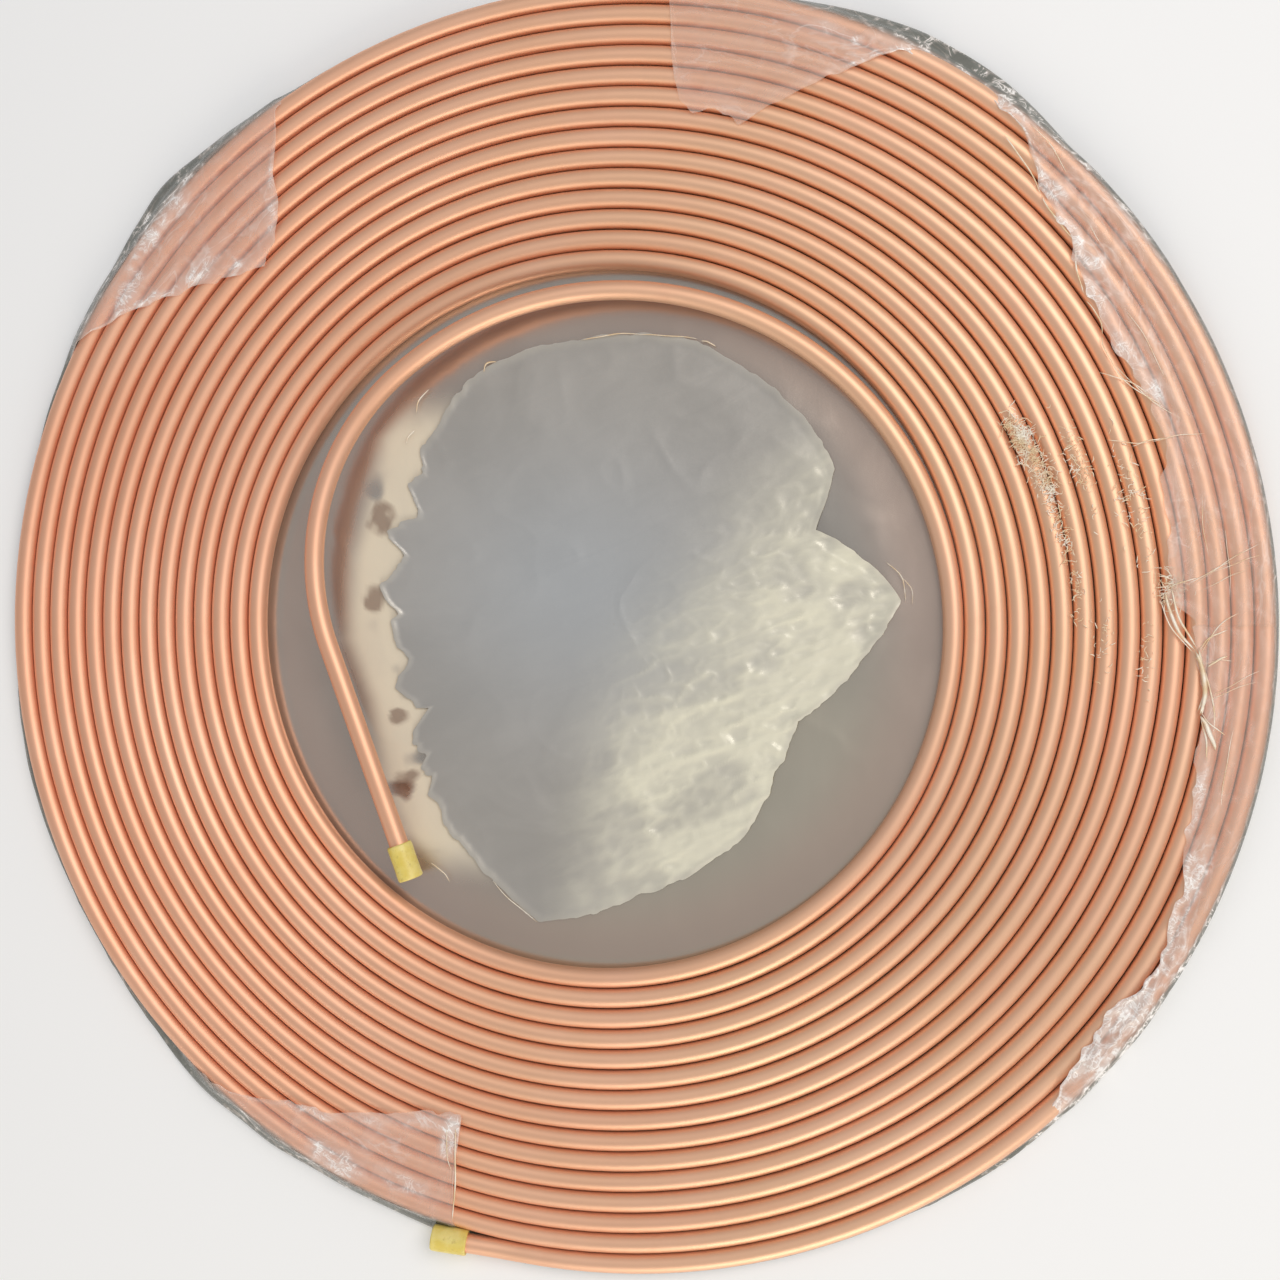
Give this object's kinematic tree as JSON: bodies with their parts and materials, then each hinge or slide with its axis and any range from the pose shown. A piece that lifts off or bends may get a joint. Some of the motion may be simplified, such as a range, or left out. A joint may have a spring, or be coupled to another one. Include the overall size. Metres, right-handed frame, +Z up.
{
  "type": "copper tube coil",
  "caption": "Flat coil of soft copper tube with a loose inner tail and capped ends, lying in the torn remains of its clear film bag.",
  "frame": {"origin": "on the floor, under the centre of the coil", "axes": "+Z up, square to the flat coil; +X to the right and +Y away as the coil lies, with the outer end near -Y"},
  "size_m": [0.4287, 0.4288, 0.0162],
  "materials": {
    "copper": "bright soft-drawn copper tube, lightly handled",
    "yellow_plastic": "moulded soft plastic, slightly see-through",
    "film": "thin clear plastic film, wrinkled and torn"
  },
  "bodies": {
    "root": {"tube_coil": "copper", "inner_end_cap": "yellow_plastic", "outer_end_cap": "yellow_plastic", "film_sheet": "film", "film_rim": "film", "film_scrap": "film"}
  },
  "joints": []
}
